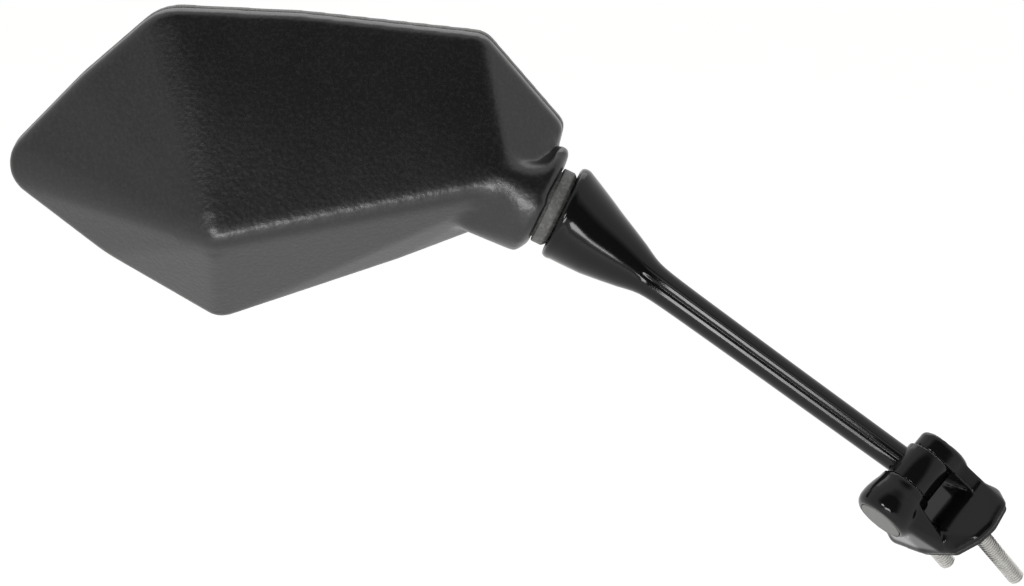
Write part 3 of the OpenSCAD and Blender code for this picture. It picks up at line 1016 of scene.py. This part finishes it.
@dataclass
class Hinge:
    """Foot, hinge parts, pad and studs."""

    places: Places
    foot_voxel: float = 0.45
    foot_rounds: int = 9
    foot_sharp_deg: float = 60.0
    stud_r: float = 3.0
    root_r: float = 2.45
    pitch: float = 1.0
    stud_in: float = 0.4
    stud_out: float = 26.0
    grip: Pairs = ((0.01, -4.7), (3.4, -4.7), (3.4, -0.3), (3.1, 0.0), (0.01, 0.0))
    stud_sharp_deg: float = 30.0

    def _stud(self, name: str, side: int) -> None:
        """Wind a stud's thread and join the root that the casting grips.

        Args:
            name: Name of the solid that it replaces.
            side: -1 for the front stud and 1 for the rear one.
        """
        place = self.places.stud(side)
        stud = Form(name + "_thread")
        stud.thread(-self.stud_in, self.stud_out, self.stud_r, self.root_r, self.pitch, place)
        root = Form(name + "_root")
        root.turned(self.grip, place)
        stud.join(root)
        stud.piece(ZINC, Body.BASE, name, self.stud_sharp_deg)

    def build(self) -> None:
        """Soften the foot, thread the studs and dress the rest."""
        foot = Form.copy_of("foot_casting", "foot")
        foot.remesh(self.foot_voxel)
        foot.soften(self.foot_rounds)
        foot.piece(PAINT, Body.BASE, "foot", self.foot_sharp_deg)
        self._stud("stud_front", -1)
        self._stud("stud_rear", 1)
        dress_nodes({"base_pad": RUBBER, "hinge_bolt": DARK, "hinge_nut": DARK, "hinge_washer": ZINC,
                     "hinge_cap": CAP, "hinge_bush_outer": ACETAL, "hinge_bush_inner": ACETAL})


# Studio


@dataclass
class Softbox:
    """One area lamp."""

    name: str
    place: Point
    target: Point
    size: tuple[float, float]
    power: float

    def build(self) -> None:
        """Hang the lamp and turn it to its target."""
        data = bpy.data.lights.new(self.name, "AREA")
        data.shape = "RECTANGLE"
        data.size, data.size_y = self.size
        data.energy = self.power
        item = bpy.data.objects.new(self.name, data)
        item.visible_camera = False
        aim = Vector(self.target) - Vector(self.place)
        turn = aim.to_track_quat("-Z", "Y").to_matrix().to_4x4()
        item.matrix_world = Matrix.Translation(self.place) @ turn
        bpy.context.scene.collection.objects.link(item)


@dataclass
class Studio:
    """Camera, floor, world and lamps, in metres."""

    azimuth: float = 4.0
    elevation: float = 12.0
    across: float = -0.14855
    up: float = 0.07976
    view_width: float = 0.3531
    distance: float = 4.0
    sensor_mm: float = 36.0
    clip_end: float = 50.0
    white: Colour = (1.0, 1.0, 1.0, 1.0)
    paper: Colour = (0.82, 0.82, 0.81, 1.0)
    paper_glow: float = 0.53
    floor_z: float = -0.36
    floor_radius: float = 9.0
    floor_sides: int = 96
    room: float = 0.7
    screen_way: Point = (0.03, -0.87, 0.49)
    screen_edge: tuple[float, float] = (0.66, 0.86)
    screen_depth: float = 0.92
    lamps: list[Softbox] = field(default_factory=lambda: [
        Softbox("left_strip", (-0.75, -1.4, 0.52), (-0.07, 0, 0.05), (0.25, 0.25), 4.3),
        Softbox("rear_softbox", (-0.2, 1.0, 1.2), (-0.15, 0, 0.05), (1.4, 0.8), 4.0),
        Softbox("front_strip", (-0.34, -1.6, 0.07), (-0.1, 0, 0.06), (0.55, 0.27), 7.5),
    ])

    def camera(self) -> None:
        """Stand the camera where the photograph was taken."""
        a, e = radians(self.azimuth), radians(self.elevation)
        right = Vector((cos(a), sin(a), 0))
        upward = Vector((-sin(a) * sin(e), cos(a) * sin(e), cos(e)))
        forward = Vector((-sin(a) * cos(e), cos(a) * cos(e), -sin(e)))
        middle = (Vector(CAD_BOX[0]) + Vector(CAD_BOX[1])) / 2
        target = right * self.across + upward * self.up + forward * middle.dot(forward)
        data = bpy.data.cameras.new("camera")
        data.sensor_width = self.sensor_mm
        data.lens = self.sensor_mm * self.distance / self.view_width
        data.clip_end = self.clip_end
        item = bpy.data.objects.new("camera", data)
        turn = Matrix((right, upward, -forward)).transposed().to_4x4()
        item.matrix_world = Matrix.Translation(target - forward * self.distance) @ turn
        bpy.context.scene.collection.objects.link(item)
        bpy.context.scene.camera = item

    def floor(self) -> None:
        """Lay the pale floor, which glows white for the rays that see the background."""
        bm = bmesh.new()
        bmesh.ops.create_circle(bm, cap_ends=True, radius=self.floor_radius, segments=self.floor_sides)
        bmesh.ops.translate(bm, vec=(0, 0, self.floor_z), verts=bm.verts)
        mesh = bpy.data.meshes.new("floor")
        bm.to_mesh(mesh)
        bm.free()
        item = bpy.data.objects.new("floor", mesh)
        bpy.context.scene.collection.objects.link(item)
        made = bpy.data.materials.new("floor_paper")
        made.use_nodes = True
        tree = Tree(made.node_tree)
        paper = tree.node("ShaderNodeBsdfDiffuse", {}, {"Color": self.paper})
        strength = self.paper_glow * self._seen(tree)
        glow = tree.node("ShaderNodeEmission", {}, {"Color": self.white, "Strength": strength})
        both = tree.node("ShaderNodeAddShader", {}, {0: paper, 1: glow})
        tree.node("ShaderNodeOutputMaterial", {}, {"Surface": both})
        mesh.materials.append(made)

    @staticmethod
    def _seen(tree: Tree) -> Wire:
        """1 for what the camera sees directly or in gloss and glass."""
        direct, gloss, through = (tree.node("ShaderNodeLightPath", out=ray.value) for ray in Ray)
        return direct + gloss + through

    def world(self) -> None:
        """Fill the room with soft white light, with a dark screen behind the camera."""
        world = bpy.data.worlds.new("studio")
        world.use_nodes = True
        tree = Tree(world.node_tree)
        way = tree.node("ShaderNodeTexCoord", out="Generated")
        facing = tree.node("ShaderNodeVectorMath", {"operation": "DOT_PRODUCT"},
                           {0: way, 1: self.screen_way}, "Value")
        start, full = self.screen_edge
        screen = tree.ramp(facing, [(start, 0.0), (full, 1.0)])
        unseen = 1 - tree.node("ShaderNodeLightPath", out=Ray.CAMERA.value)
        light = self.room + (1 - self.room) * self._seen(tree)
        level = light * (1 - self.screen_depth * screen * unseen)
        back = tree.node("ShaderNodeBackground", {}, {"Color": self.white, "Strength": level})
        tree.node("ShaderNodeOutputWorld", {}, {"Surface": back})
        bpy.context.scene.world = world

    def build(self) -> None:
        """Set the whole studio up."""
        self.camera()
        self.floor()
        self.world()
        for lamp in self.lamps:
            lamp.build()


def main() -> None:
    """Build every piece, then the studio, and set the view transform."""
    logging.basicConfig(level=logging.INFO, format="%(name)s: %(message)s")
    places = Places()
    for part in (Head(places), Neck(places), Stem(places), Hinge(places)):
        part.build()
    Studio().build()
    view = bpy.context.scene.view_settings
    view.view_transform = "Standard"
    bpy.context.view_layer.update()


if __name__ == "__main__":
    main()
